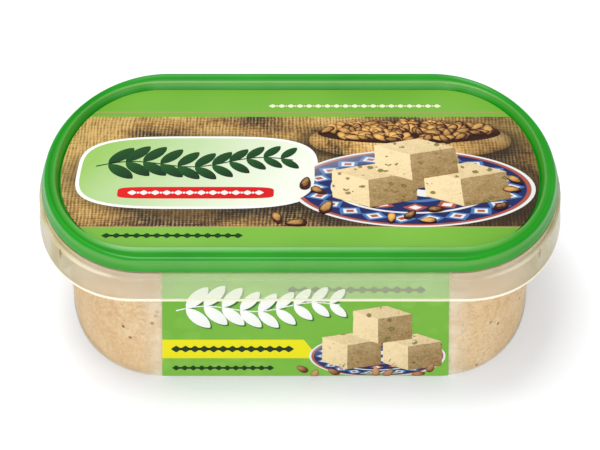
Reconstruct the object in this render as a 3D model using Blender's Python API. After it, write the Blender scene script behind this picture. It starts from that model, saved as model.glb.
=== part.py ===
# A shut oval tub of halva: a clear plastic tub with a hanging collar, the halva cast in it, a green
# press-fit lid, the printed panel in the lid's recess and a printed label on each long side.
# Metres, +Z up. The tub stands on Z = 0 with its length along X and its shown side towards -Y.

import math
from typing import NamedTuple

import bmesh
import bpy
from mathutils import Vector, noise

MM = 0.001

# Driving dimensions of the whole pack
LID_LENGTH = 140.0 * MM
LID_WIDTH = 92.0 * MM
TOTAL_HEIGHT = 44.0 * MM
LID_EDGE_HEIGHT = 40.5 * MM
COLLAR_FOOT_HEIGHT = 31.3 * MM
CLEARANCE = 0.3 * MM

# The tub
WALL_LENGTH = 132.0 * MM
WALL_WIDTH = 85.2 * MM
WALL_TAPER = 0.8 * MM
WALL_THICKNESS = 0.9 * MM
BASE_RADIUS = 2.6 * MM
FLANGE_TOP = 39.8 * MM
COLLAR_STANDS_OUT = 0.9 * MM
COLLAR_FOOT_LENGTH = 144.0 * MM
COLLAR_FOOT_WIDTH = 94.6 * MM
COLLAR_STEP_DROP = 1.9 * MM
COLLAR_STEP_RISE = 0.3 * MM
EDGE_BEVEL = 0.2 * MM
SNAP_BEAD_TOP = 42.2 * MM
SNAP_BEAD_INSET = 0.7 * MM
SNAP_BEAD_WIDTH = 1.1 * MM

# The lid
RIM_AT_ENDS = 3.4 * MM
RIM_AT_SIDES = 5.8 * MM
RIM_DISH = 0.45 * MM
LIP_RADIUS = 0.6 * MM
SHOULDER_RADIUS = 1.2 * MM
INNER_WALL_SLANT = 0.9 * MM
SKIRT_FLARE = 0.8 * MM
SKIRT_THICKNESS = 1.0 * MM
SKIRT_DRAFT = 0.1 * MM
LID_THICKNESS = 1.0 * MM
RECESS_DEPTH = 2.4 * MM
PRINT_THICKNESS = 0.4 * MM

# The labels on the long sides
LABEL_WIDTH = 76.0 * MM
LABEL_SHIFT = 1.3 * MM
LABEL_FOOT = 0.8 * MM
LABEL_TOP = 38.2 * MM
LABEL_THICKNESS = 0.4 * MM

# The halva
HALVA_TOP = 39.4 * MM
HALVA_EDGE = 1.8 * MM
HALVA_SIDE_RELIEF = 0.5 * MM
HALVA_TOP_RELIEF = 1.0 * MM
HALVA_LUMP = 7.0 * MM

# Steps round each quarter of an end and up each curve
ARC_STEPS = 14
FILLET_STEPS = 4
RIM_STEPS = 4
SHOULDER_STEPS = 3
WALL_STEPS = 7
LABEL_ROWS = 3
LABEL_COLUMNS = 20
HALVA_SIDE_STEPS = 10
HALVA_TOP_RINGS = 5
CREASE_ANGLE = math.radians(35)


class Plan(NamedTuple):
    """An oval seen from above: straight long sides closed by super-elliptic ends."""

    half_length: float
    half_width: float
    end_depth: float
    power: float = 2.0

    def grown(self, step):
        return Plan(self.half_length + step, self.half_width + step, self.end_depth + step, self.power)

    def towards(self, other, share):
        return Plan(*(a + (b - a) * share for a, b in zip(self, other)))

    def side_at(self, x):
        """How far the outline stands from the long axis at this x."""
        into_end = max(0.0, abs(x) - (self.half_length - self.end_depth)) / self.end_depth
        return self.half_width * (1 - min(into_end, 1.0) ** self.power) ** (1 / self.power)


class Station(NamedTuple):
    """One ring of a swept body: its outline and its height."""

    plan: Plan
    z: float


LID_PLAN = Plan(LID_LENGTH / 2, LID_WIDTH / 2, 30.7 * MM)
LIP_PLAN = Plan(LID_LENGTH / 2 - RIM_AT_ENDS, LID_WIDTH / 2 - RIM_AT_SIDES, 26.0 * MM, 2.1)
WALL_PLAN = Plan(WALL_LENGTH / 2, WALL_WIDTH / 2, 29.0 * MM, 2.1)
COLLAR_FOOT_PLAN = Plan(COLLAR_FOOT_LENGTH / 2, COLLAR_FOOT_WIDTH / 2, 30.0 * MM, 2.1)


def clear_scene():
    for old in list(bpy.data.objects):
        bpy.data.objects.remove(old, do_unlink=True)


def plastic(name, colour, roughness, alpha=1.0):
    """A plain Principled material; none of these pieces is metal."""
    material = bpy.data.materials.new(name)
    material.use_nodes = True
    shader = material.node_tree.nodes["Principled BSDF"]
    shader.inputs["Base Color"].default_value = (*colour, 1.0)
    shader.inputs["Roughness"].default_value = roughness
    shader.inputs["Metallic"].default_value = 0.0
    shader.inputs["Alpha"].default_value = alpha
    return material


def oval_points(plan, z, side_steps=1):
    """Points round the oval, anticlockwise from the +X end's -Y corner."""
    straight = plan.half_length - plan.end_depth
    end = []
    for step in range(-ARC_STEPS, ARC_STEPS + 1):
        angle = step * math.pi / (2 * ARC_STEPS)
        along = max(math.cos(angle), 0.0) ** (2 / plan.power)
        across = math.copysign(abs(math.sin(angle)) ** (2 / plan.power), step)
        end.append((straight + plan.end_depth * along, plan.half_width * across))
    side = []
    for step in range(1, side_steps):
        side.append((straight - 2 * straight * step / side_steps, plan.half_width))
    half = end + side
    return [Vector((x, y, z)) for x, y in half] + [Vector((-x, -y, z)) for x, y in half]


def add_rings(mesh, rings):
    """Joins rings of equal length by quads and returns their vertices."""
    rows = [[mesh.verts.new(point) for point in ring] for ring in rings]
    for lower, upper in zip(rows, rows[1:]):
        for i in range(len(lower)):
            j = (i + 1) % len(lower)
            mesh.faces.new((lower[i], lower[j], upper[j], upper[i]))
    return rows


def finish(name, mesh, material):
    """Turns the faces outwards and puts the closed mesh into the scene."""
    bmesh.ops.recalc_face_normals(mesh, faces=mesh.faces)
    data = bpy.data.meshes.new(name)
    mesh.to_mesh(data)
    mesh.free()
    data.materials.append(material)
    data.shade_smooth()
    data.set_sharp_from_angle(angle=CREASE_ANGLE)
    piece = bpy.data.objects.new(name, data)
    bpy.context.collection.objects.link(piece)
    return piece


def swept_body(name, stations, material):
    """A closed body from rings in order, its first and last ring capped flat."""
    mesh = bmesh.new()
    rows = add_rings(mesh, [oval_points(plan, z) for plan, z in stations])
    mesh.faces.new(rows[0])
    mesh.faces.new(rows[-1])
    return finish(name, mesh, material)


def wall_inset(z):
    """How far the wall's outside stands in from its top outline at height z."""
    taper = WALL_TAPER * (1 - z / FLANGE_TOP)
    if z >= BASE_RADIUS:
        return taper
    return taper + BASE_RADIUS - math.sqrt(BASE_RADIUS**2 - (BASE_RADIUS - z) ** 2)


def fillet_heights():
    """Heights up the base's rounded edge, close together near the floor."""
    quarter = [step * math.pi / (2 * FILLET_STEPS) for step in range(FILLET_STEPS + 1)]
    return [BASE_RADIUS * (1 - math.cos(angle)) for angle in quarter]


def build_tub(material):
    flange_under = FLANGE_TOP - WALL_THICKNESS
    outside = [Station(WALL_PLAN.grown(-wall_inset(z)), z) for z in fillet_heights()]
    outside.append(Station(WALL_PLAN, flange_under))

    band_plan = LID_PLAN.grown(COLLAR_STANDS_OUT)
    ledge_top = LID_EDGE_HEIGHT - CLEARANCE
    step_top = ledge_top - COLLAR_STEP_DROP
    half_thick = WALL_THICKNESS / 2
    collar = [
        Station(band_plan.grown(-WALL_THICKNESS), flange_under),
        Station(COLLAR_FOOT_PLAN.grown(-WALL_THICKNESS), COLLAR_FOOT_HEIGHT + half_thick),
        Station(COLLAR_FOOT_PLAN.grown(-half_thick), COLLAR_FOOT_HEIGHT),
        Station(COLLAR_FOOT_PLAN, COLLAR_FOOT_HEIGHT + half_thick),
        Station(band_plan.towards(COLLAR_FOOT_PLAN, 0.5), step_top - COLLAR_STEP_RISE),
        Station(band_plan, step_top),
        Station(band_plan, ledge_top - EDGE_BEVEL),
        Station(band_plan.grown(-EDGE_BEVEL), ledge_top),
    ]

    bead_outer = LID_PLAN.grown(-SNAP_BEAD_INSET)
    bead_inner = bead_outer.grown(-SNAP_BEAD_WIDTH)
    bead = [
        Station(bead_outer, ledge_top),
        Station(bead_outer, SNAP_BEAD_TOP),
        Station(bead_inner, SNAP_BEAD_TOP),
        Station(bead_inner, FLANGE_TOP),
    ]

    inside_plan = WALL_PLAN.grown(-WALL_THICKNESS)
    floor_plan = WALL_PLAN.grown(-wall_inset(BASE_RADIUS) - BASE_RADIUS)
    inside = [
        Station(inside_plan, FLANGE_TOP),
        Station(inside_plan.grown(-wall_inset(BASE_RADIUS)), BASE_RADIUS),
        Station(floor_plan, WALL_THICKNESS),
    ]
    return swept_body("tub", outside + collar + bead + inside, material)


def rounded_edge(plan, radius, top, steps, inward):
    """Rings round a quarter circle from an upright face to a level top, or back if inward is -1."""
    rings = []
    for step in range(steps + 1):
        angle = step * math.pi / (2 * steps)
        across = inward * radius * (1 - math.cos(angle))
        rings.append(Station(plan.grown(across), top - radius * (1 - math.sin(angle))))
    return rings


def build_lid(material):
    panel_top = TOTAL_HEIGHT - RECESS_DEPTH
    foot_plan = LIP_PLAN.grown(-INNER_WALL_SLANT)
    lip = rounded_edge(LIP_PLAN, LIP_RADIUS, TOTAL_HEIGHT, SHOULDER_STEPS, 1)
    shoulder = rounded_edge(LID_PLAN, SHOULDER_RADIUS, TOTAL_HEIGHT, SHOULDER_STEPS, -1)[::-1]
    dish = []
    for step in range(1, RIM_STEPS):
        share = step / RIM_STEPS
        across = lip[-1].plan.towards(shoulder[0].plan, share)
        dish.append(Station(across, TOTAL_HEIGHT - RIM_DISH * math.sin(math.pi * share)))

    channel_top = TOTAL_HEIGHT - RIM_DISH - LID_THICKNESS
    skirt_inside = LID_PLAN.grown(SKIRT_FLARE - SKIRT_THICKNESS)
    under = [
        Station(LID_PLAN.grown(SKIRT_FLARE), LID_EDGE_HEIGHT),
        Station(skirt_inside, LID_EDGE_HEIGHT),
        Station(skirt_inside.grown(-SKIRT_DRAFT), channel_top),
        Station(LIP_PLAN.grown(LID_THICKNESS), channel_top),
        Station(foot_plan.grown(LID_THICKNESS / 2), panel_top - LID_THICKNESS),
    ]
    stations = [Station(foot_plan, panel_top)] + lip + dish + shoulder + under
    return swept_body("lid", stations, material)


def build_lid_print(material):
    """The printed sheet that lies in the lid's recess."""
    outline = LIP_PLAN.grown(-INNER_WALL_SLANT - CLEARANCE)
    underside = TOTAL_HEIGHT - RECESS_DEPTH + CLEARANCE
    stations = [Station(outline, underside), Station(outline, underside + PRINT_THICKNESS)]
    return swept_body("lid_print", stations, material)


def build_halva(material):
    """The cast block: it follows the tub's inside, with shallow lumps on its sides and top."""
    room = WALL_PLAN.grown(-WALL_THICKNESS - CLEARANCE)
    floor_plan = room.grown(-wall_inset(BASE_RADIUS) - BASE_RADIUS)
    foot = BASE_RADIUS + 2 * CLEARANCE
    shoulder = HALVA_TOP - HALVA_EDGE
    rings = [oval_points(floor_plan, WALL_THICKNESS + CLEARANCE, HALVA_SIDE_STEPS)]
    for step in range(WALL_STEPS + 1):
        z = foot + (shoulder - foot) * step / WALL_STEPS
        rings.append(oval_points(room.grown(-wall_inset(z)), z, HALVA_SIDE_STEPS))
    top_edge = [point * (1 - HALVA_EDGE / room.half_width) for point in rings[-1]]
    for step in range(HALVA_TOP_RINGS):
        share = 1 - step / HALVA_TOP_RINGS
        rings.append([Vector((point.x * share, point.y * share, HALVA_TOP)) for point in top_edge])

    mesh = bmesh.new()
    rows = add_rings(mesh, rings)
    mesh.faces.new(rows[0])
    middle = mesh.verts.new((0.0, 0.0, HALVA_TOP))
    for i, vertex in enumerate(rows[-1]):
        mesh.faces.new((vertex, rows[-1][(i + 1) % len(rows[-1])], middle))

    sides, top = rows[2 : WALL_STEPS + 2], rows[WALL_STEPS + 2 :]
    for row in sides:
        for vertex in row:
            inward = Vector((-vertex.co.x, -vertex.co.y, 0.0)).normalized()
            vertex.co += inward * HALVA_SIDE_RELIEF * lump_at(vertex.co)
    for row in top:
        for vertex in row:
            vertex.co.z -= HALVA_TOP_RELIEF * lump_at(vertex.co)
    return finish("halva", mesh, material)


def lump_at(place):
    """A smooth unevenness between 0 and 1, about one HALVA_LUMP across."""
    return 0.5 + 0.5 * noise.noise(place / HALVA_LUMP)


def build_label(name, facing, material):
    """A thin printed skin that follows the wall of one long side, down over the base's edge."""
    curve = [LABEL_FOOT] + [z for z in fillet_heights() if z > LABEL_FOOT]
    rise = (LABEL_TOP - curve[-1]) / LABEL_ROWS
    heights = curve + [curve[-1] + rise * row for row in range(1, LABEL_ROWS + 1)]
    left = LABEL_SHIFT - LABEL_WIDTH / 2
    columns = [left + LABEL_WIDTH * i / LABEL_COLUMNS for i in range(LABEL_COLUMNS + 1)]

    slices = []
    for z in heights:
        inner = WALL_PLAN.grown(CLEARANCE - wall_inset(z))
        outer = inner.grown(LABEL_THICKNESS)
        outward = [Vector((-facing * x, facing * outer.side_at(x), z)) for x in columns]
        inward = [Vector((-facing * x, facing * inner.side_at(x), z)) for x in columns]
        slices.append(outward + inward[::-1])

    mesh = bmesh.new()
    rows = add_rings(mesh, slices)
    for row in (rows[0], rows[-1]):
        for i in range(LABEL_COLUMNS):
            mesh.faces.new((row[i], row[i + 1], row[-2 - i], row[-1 - i]))
    return finish(name, mesh, material)


def main():
    clear_scene()
    build_tub(plastic("clear_plastic", (0.86, 0.82, 0.74), 0.25, 0.35))
    build_halva(plastic("halva", (0.72, 0.50, 0.31), 0.75))
    build_lid(plastic("lid_green", (0.07, 0.42, 0.06), 0.3))
    build_lid_print(plastic("lid_print", (0.42, 0.32, 0.13), 0.3))
    label_ink = plastic("label_print", (0.19, 0.48, 0.05), 0.3)
    build_label("front_label", -1, label_ink)
    build_label("back_label", 1, label_ink)


main()
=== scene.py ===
"""A shut oval tub of halva: clear tub, cast halva, green lid, printed lid sheet and two printed labels.

Metres, +Z up. The tub stands on Z = 0 with its length along X and its shown side towards -Y. Finishes and
printed motifs are given in millimetres.
"""

import logging
import math
from dataclasses import astuple, dataclass
from enum import Enum
from typing import Callable, Optional, Sequence, Union

import bpy
import numpy as np
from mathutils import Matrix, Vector


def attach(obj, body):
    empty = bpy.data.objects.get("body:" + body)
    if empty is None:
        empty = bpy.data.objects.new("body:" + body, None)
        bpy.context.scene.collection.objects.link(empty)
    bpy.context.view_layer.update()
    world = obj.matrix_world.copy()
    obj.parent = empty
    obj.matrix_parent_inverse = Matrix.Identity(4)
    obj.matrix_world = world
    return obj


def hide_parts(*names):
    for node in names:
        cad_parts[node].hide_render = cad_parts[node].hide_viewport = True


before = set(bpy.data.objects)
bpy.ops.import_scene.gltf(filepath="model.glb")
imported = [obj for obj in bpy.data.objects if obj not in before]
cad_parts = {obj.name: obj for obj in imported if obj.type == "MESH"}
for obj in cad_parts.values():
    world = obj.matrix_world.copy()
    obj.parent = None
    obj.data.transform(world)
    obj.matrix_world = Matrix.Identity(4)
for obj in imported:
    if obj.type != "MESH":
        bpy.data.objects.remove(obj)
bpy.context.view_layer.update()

MM = 0.001
SUNK = 0.05 * MM
HASH_FACTORS = np.array([73856093, 19349663, 83492791])
INLAY_SHARES = np.array([0.3, 0.55, 0.78, 0.92, 1.0, 1.0])
UPPER_LEFT = np.array([-0.6, 0.8])
LEAF_RISE = 0.0008
CUBE_RISE = 0.012
LOG = logging.getLogger("tub_of_halva")

Colour = tuple[float, float, float, float]
Pair = tuple[float, float]
Marks = dict[str, np.ndarray]
Lay = Callable[[np.ndarray, np.ndarray], np.ndarray]


@dataclass(frozen=True)
class Oval:
    """An oval seen from above: straight long sides closed by super-elliptic ends."""

    half_length: float
    half_width: float
    end_depth: float
    power: float = 2.0

    def grown(self, step: float) -> "Oval":
        """The same oval with every edge moved outwards by step."""
        return Oval(self.half_length + step, self.half_width + step, self.end_depth + step, self.power)

    def towards(self, other: "Oval", share: float) -> "Oval":
        """The oval part of the way from this one to another."""
        mine, theirs = np.array(astuple(self)), np.array(astuple(other))
        return Oval(*(mine + (theirs - mine) * share))

    def end(self, angle: np.ndarray) -> np.ndarray:
        """Points of the +X end.

        Formula: x = straight + depth * cos(a)^(2/p), y = width * sin(a)^(2/p), with the sine's sign kept.

        Args:
            angle: angles from -90 to 90 degrees, in radians.

        Returns:
            One point for each angle.
        """
        along = np.maximum(np.cos(angle), 0.0) ** (2 / self.power)
        across = np.sign(angle) * np.abs(np.sin(angle)) ** (2 / self.power)
        straight = self.half_length - self.end_depth
        return np.stack([straight + self.end_depth * along, self.half_width * across], axis=-1)

    def outline(self, arc: int = 44, side: int = 24) -> np.ndarray:
        """Points round the oval, anticlockwise from the +X end's -Y corner.

        Formula: the end, then a side straight back; the other half is the first turned by 180 degrees.

        Args:
            arc: steps in a quarter of the outline's end.
            side: steps along a straight side.

        Returns:
            An array of points, one row each.
        """
        straight = self.half_length - self.end_depth
        back = np.linspace(straight, -straight, side + 1)[1:-1]
        edge = np.stack([back, np.full(back.shape, self.half_width)], axis=1)
        half = np.concatenate([self.end(np.linspace(-math.pi / 2, math.pi / 2, 2 * arc + 1)), edge])
        return np.concatenate([half, -half])

    def side_at(self, x: np.ndarray) -> np.ndarray:
        """How far the outline stands from the long axis at each x: the end's formula solved for y."""
        into_end = np.maximum(0.0, np.abs(x) - (self.half_length - self.end_depth)) / self.end_depth
        return self.half_width * (1 - into_end**self.power) ** (1 / self.power)


@dataclass(frozen=True)
class Station:
    """One ring of a swept body: its outline, its height, and a mark for how frosted the plastic is there,
    which also paints light: highlights where it is high, shade where it is below 0.
    """

    plan: Oval
    z: float
    frost: float = 0.0


class Ends(Enum):
    """How the first and last ring of a swept body are closed."""

    POLE = "a fan of triangles round a middle point"
    STRIP = "quads between the two halves of the ring"


def lattice_noise(points: np.ndarray, size: float, seed: int) -> np.ndarray:
    """Smooth noise from -1 to 1: random values at the corners of a cubic lattice, eased between them.

    Args:
        points: places in metres, the last axis being x, y and z.
        size: edge of a lattice cell in metres.
        seed: which set of random values is used.

    Returns:
        One value for each point.
    """
    table = np.random.default_rng(seed).uniform(-1.0, 1.0, 8192)
    cell = np.floor(points / size).astype(np.int64)
    part = points / size - cell
    ease = part * part * (3 - 2 * part)
    total = np.zeros(points.shape[:-1])
    for corner in np.ndindex(2, 2, 2):
        key = np.bitwise_xor.reduce((cell + np.array(corner)) * HASH_FACTORS, axis=-1)
        weight = np.prod(np.where(np.array(corner), ease, 1 - ease), axis=-1)
        total += weight * table[key % table.size]
    return total


def show(name: str, data: bpy.types.ID) -> bpy.types.Object:
    """Puts data into the scene as an object of this name.

    Args:
        name: the object's name.
        data: its mesh, light or camera.

    Returns:
        The new object.
    """
    thing = bpy.data.objects.new(name, data)
    bpy.context.scene.collection.objects.link(thing)
    return thing


def put_mesh(
    name: str,
    points: np.ndarray,
    faces: list,
    material: bpy.types.Material,
    marks: Optional[Marks] = None,
    crease: float = 35.0,
) -> bpy.types.Object:
    """Puts points and faces into a mesh object at the origin.

    Args:
        name: the piece's name.
        points: one row for each vertex.
        faces: lists of vertex numbers.
        material: the finish.
        marks: named values for each vertex, which the finish reads.
        crease: edges sharper than this many degrees stay sharp.

    Returns:
        The new object, riding on the root body.
    """
    data = bpy.data.meshes.new(name)
    data.from_pydata(points.reshape(-1, 3).tolist(), [], faces)
    for mark, values in (marks or {}).items():
        layer = data.attributes.new(mark, "FLOAT", "POINT")
        layer.data.foreach_set("value", np.ascontiguousarray(values, np.float32).ravel())
    data.materials.append(material)
    data.shade_smooth()
    data.set_sharp_from_angle(angle=math.radians(crease))
    piece = show(name, data)
    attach(piece, "root")
    LOG.info("%s: %d faces", name, len(data.polygons))
    return piece


def ring_faces(rows: int, count: int) -> np.ndarray:
    """Quads between neighbouring rings: each joins points j and j + 1 of ring i with those of ring i + 1.

    Args:
        rows: how many rings there are.
        count: how many points each has.

    Returns:
        Four vertex numbers a row.
    """
    low = np.arange(rows - 1)[:, None] * count
    j = np.arange(count)[None, :]
    k = (j + 1) % count
    return np.stack([low + j, low + k, low + count + k, low + count + j], axis=-1).reshape(-1, 4)


def swept(
    name: str,
    rings: np.ndarray,
    material: bpy.types.Material,
    ends: Ends = Ends.POLE,
    marks: Optional[Marks] = None,
    crease: float = 35.0,
) -> bpy.types.Object:
    """A closed body from rings in order: up its outside, anticlockwise seen from above.

    Args:
        name: the piece's name.
        rings: array of rings, points and coordinates.
        material: the finish.
        ends: how the first and last ring are closed.
        marks: named values for each point of each ring.
        crease: edges sharper than this many degrees stay sharp.

    Returns:
        The new object.
    """
    rows, count = rings.shape[:2]
    faces = ring_faces(rows, count).tolist()
    points = rings.reshape(-1, 3)
    marks = {mark: values.reshape(-1) for mark, values in (marks or {}).items()}
    last = (rows - 1) * count
    if ends is Ends.POLE:
        j = np.arange(count)
        k = (j + 1) % count
        pole = len(points)
        points = np.concatenate([points, rings[:1].mean(axis=1), rings[-1:].mean(axis=1)])
        faces += np.stack([np.full(count, pole), k, j], axis=1).tolist()
        faces += np.stack([np.full(count, pole + 1), last + j, last + k], axis=1).tolist()
        marks = {m: np.concatenate([v, [v[:count].mean(), v[-count:].mean()]]) for m, v in marks.items()}
    else:
        h = np.arange(count // 2 - 1)
        strip = np.stack([h, h + 1, count - 2 - h, count - 1 - h], axis=1)
        faces += strip[:, ::-1].tolist() + (strip + last).tolist()
    return put_mesh(name, points, faces, material, marks, crease)


def ring_stack(stations: Sequence[Station], arc: int = 44, side: int = 24) -> np.ndarray:
    """The stations' outlines at their heights.

    Args:
        stations: the rings in order.
        arc: steps in a quarter of each outline's end.
        side: steps along each straight side.

    Returns:
        An array of rings, points and coordinates.
    """
    flat = np.stack([station.plan.outline(arc, side) for station in stations])
    heights = np.array([station.z for station in stations])[:, None, None]
    return np.concatenate([flat, np.broadcast_to(heights, flat.shape[:2] + (1,))], axis=2)


def moulded(name: str, stations: Sequence[Station], material: bpy.types.Material) -> bpy.types.Object:
    """A closed plastic body through stations; each station's mark of frost and painted light goes to its
    ring.

    Args:
        name: the piece's name.
        stations: the rings in order.
        material: the finish.

    Returns:
        The new object.
    """
    rings = ring_stack(stations)
    frost = np.repeat(np.array([s.frost for s in stations])[:, None], rings.shape[1], axis=1)
    return swept(name, rings, material, marks={"frost": frost}, crease=50.0)


def rounding(
    plan: Oval, z: float, radius: float, start: float, stop: float, steps: int, frost: float = 0.0
) -> list[Station]:
    """Rings round part of a circle whose centre runs along plan at height z.

    Formula: offset = radius * cos(a), height = z + radius * sin(a), a from start to stop in degrees.
    """
    angles = np.radians(np.linspace(start, stop, steps + 1))
    return [Station(plan.grown(radius * math.cos(a)), z + radius * math.sin(a), frost) for a in angles]


def inlays(
    name: str,
    outlines: np.ndarray,
    tones: np.ndarray,
    lifts: np.ndarray,
    lay: Lay,
    material: bpy.types.Material,
    lean: float,
) -> bpy.types.Object:
    """Thin printed shapes that lie on a sheet, as one mesh.

    Formula: a point is heart + share * (edge - heart), for shares from 0 to 1 at the shape's own lift,
    and once more at share 1 sunk into the sheet. The mark tone adds lean times how far the point lies
    towards the upper left, and the mark rim is the share.

    Args:
        name: the piece's name.
        outlines: shapes, points anticlockwise, two coordinates on the sheet.
        tones: one tone for each shape.
        lifts: how far each shape stands above the sheet.
        lay: turns sheet coordinates and lifts into places.
        material: the finish.
        lean: how much lighter the upper left of each shape is than its heart.

    Returns:
        The new object.
    """
    many, count = outlines.shape[:2]
    hearts = outlines.mean(axis=1)
    arms = outlines - hearts[:, None]
    spread = INLAY_SHARES[:, None, None] * arms[:, None]
    flat = hearts[:, None, None] + spread
    lift = np.broadcast_to(lifts[:, None, None], flat.shape[:3]).copy()
    lift[:, -1] = -SUNK
    toward = (spread @ UPPER_LEFT) / np.abs(arms).max(axis=(1, 2))[:, None, None]
    tone = tones[:, None, None] + lean * toward
    rim = np.broadcast_to(INLAY_SHARES[:, None], flat.shape[:3])
    points = np.concatenate([lay(flat, lift).reshape(-1, 3), lay(hearts, lifts)])
    marks = {
        "tone": np.concatenate([tone.ravel(), tones]),
        "rim": np.concatenate([rim.ravel(), np.zeros(many)]),
    }
    base = (np.arange(many) * len(INLAY_SHARES) * count)[:, None, None]
    quads = (ring_faces(len(INLAY_SHARES), count) + base).reshape(-1, 4)[:, ::-1]
    j = np.arange(count)
    fan = np.stack([j, (j + 1) % count], axis=1) + base
    poles = np.broadcast_to((rim.size + np.arange(many))[:, None, None], (many, count, 1))
    triangles = np.concatenate([poles, fan], axis=2).reshape(-1, 3)
    return put_mesh(name, points, quads.tolist() + triangles.tolist(), material, marks, crease=60.0)


def turned(shape: np.ndarray, angles: np.ndarray, sizes: np.ndarray, places: np.ndarray) -> np.ndarray:
    """Copies of an outline, each turned by its angle, scaled by its size and moved to its place.

    Args:
        shape: the outline's points.
        angles: an angle in radians for each copy.
        sizes: a scale for each copy.
        places: a point for each copy.

    Returns:
        An array of copies, points and coordinates.
    """
    cos, sin = np.cos(angles), np.sin(angles)
    spin = np.stack([np.stack([cos, -sin], axis=1), np.stack([sin, cos], axis=1)], axis=1)
    return np.einsum("mab,nb->mna", spin, shape) * sizes[:, None, None] + places[:, None, :]


def full_turn(count: int) -> np.ndarray:
    """The angles of count equal steps of a full turn, in radians."""
    return np.arange(count) * 2 * math.pi / count


def lens(width: float) -> np.ndarray:
    """A leaf outline, pointed at both ends: x = cos(a) / 2, y = width / 2 * sin(a)^1.4, the sign kept."""
    a = full_turn(20)
    return np.stack([np.cos(a) / 2, width / 2 * np.sin(a) * np.abs(np.sin(a)) ** 0.4], axis=1)


def almond(width: float) -> np.ndarray:
    """A kernel outline of length 1: an ellipse, narrower towards +x."""
    a = full_turn(18)
    return np.stack([np.cos(a) / 2, width / 2 * np.sin(a) * (1 - 0.28 * np.cos(a))], axis=1)


def rounded_box(half_x: float, half_y: float, power: float, count: int = 72) -> np.ndarray:
    """A super-ellipse: x = half_x * cos(a)^(2/p), y = half_y * sin(a)^(2/p), with the signs kept.

    Args:
        half_x: half of its length.
        half_y: half of its height.
        power: 2 for an ellipse, more for squarer corners, near 1 for a lozenge.
        count: how many points it has.

    Returns:
        Its points, anticlockwise.
    """
    both = np.stack([np.cos(full_turn(count)), np.sin(full_turn(count))], axis=1)
    return np.sign(both) * np.abs(both) ** (2 / power) * np.array([half_x, half_y])


def field_at(middle: Pair, half_x: float, half_y: float, power: float = 2.0) -> np.ndarray:
    """One rounded box round middle, as an array of a single shape."""
    return rounded_box(half_x, half_y, power)[None] + np.array(middle)


def ink(red: float, green: float, blue: float, share: float = 0.84) -> Colour:
    """A colour from its 0 to 255 display values, in linear light.

    Args:
        red: the red value.
        green: the green value.
        blue: the blue value.
        share: how much of full brightness the surface gives back.

    Returns:
        Red, green, blue and an alpha of 1.
    """
    parts = [value / 255 for value in (red, green, blue)]
    linear = [p / 12.92 if p <= 0.04045 else ((p + 0.055) / 1.055) ** 2.4 for p in parts]
    return (*[share * value for value in linear], 1.0)


def operator(operation: str, reflected: bool = False) -> Callable[["Feed", "Operand"], "Feed"]:
    """A method of Feed that adds one Math node.

    Args:
        operation: what the node works out.
        reflected: whether the other value comes first.

    Returns:
        The method, which takes the other value where the operation has one.
    """

    def method(self: "Feed", other: "Operand" = 0.0) -> "Feed":
        """One Math node of this and the other value."""
        first, second = (other, self) if reflected else (self, other)
        return self.bench.node("ShaderNodeMath", {"operation": operation}, {0: first, 1: second})

    return method


class Feed:
    """A node's output in Python arithmetic: an expression on numbers adds its Math nodes."""

    def __init__(self, bench: "Bench", socket: bpy.types.NodeSocket) -> None:
        """Keeps the socket and the bench that its node stands on."""
        self.bench = bench
        self.socket = socket

    __add__, __radd__ = operator("ADD"), operator("ADD", True)
    __sub__, __rsub__ = operator("SUBTRACT"), operator("SUBTRACT", True)
    __mul__, __rmul__ = operator("MULTIPLY"), operator("MULTIPLY", True)
    __truediv__, __pow__, __abs__ = operator("DIVIDE"), operator("POWER"), operator("ABSOLUTE")
    minimum, maximum = operator("MINIMUM"), operator("MAXIMUM")
    sine, fraction, angle_from = operator("SINE"), operator("FRACT"), operator("ARCTAN2")

    def clamped(self) -> "Feed":
        """This, held between 0 and 1."""
        return self.maximum(0.0).minimum(1.0)

    def within(self, reach: float, soft: float) -> "Feed":
        """A mask: 1 where this is below reach, 0 above, eased over soft on each side."""
        return 1 - self.above(reach, soft)

    def above(self, reach: float, soft: float) -> "Feed":
        """A mask: 1 where this is above reach, 0 below, eased over soft on each side."""
        feeds = {"Value": self, "From Min": reach - soft, "From Max": reach + soft}
        return self.bench.node("ShaderNodeMapRange", {"interpolation_type": "SMOOTHSTEP"}, feeds)


Operand = Union[Feed, float]
Paint = Union[Feed, Colour]


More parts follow.
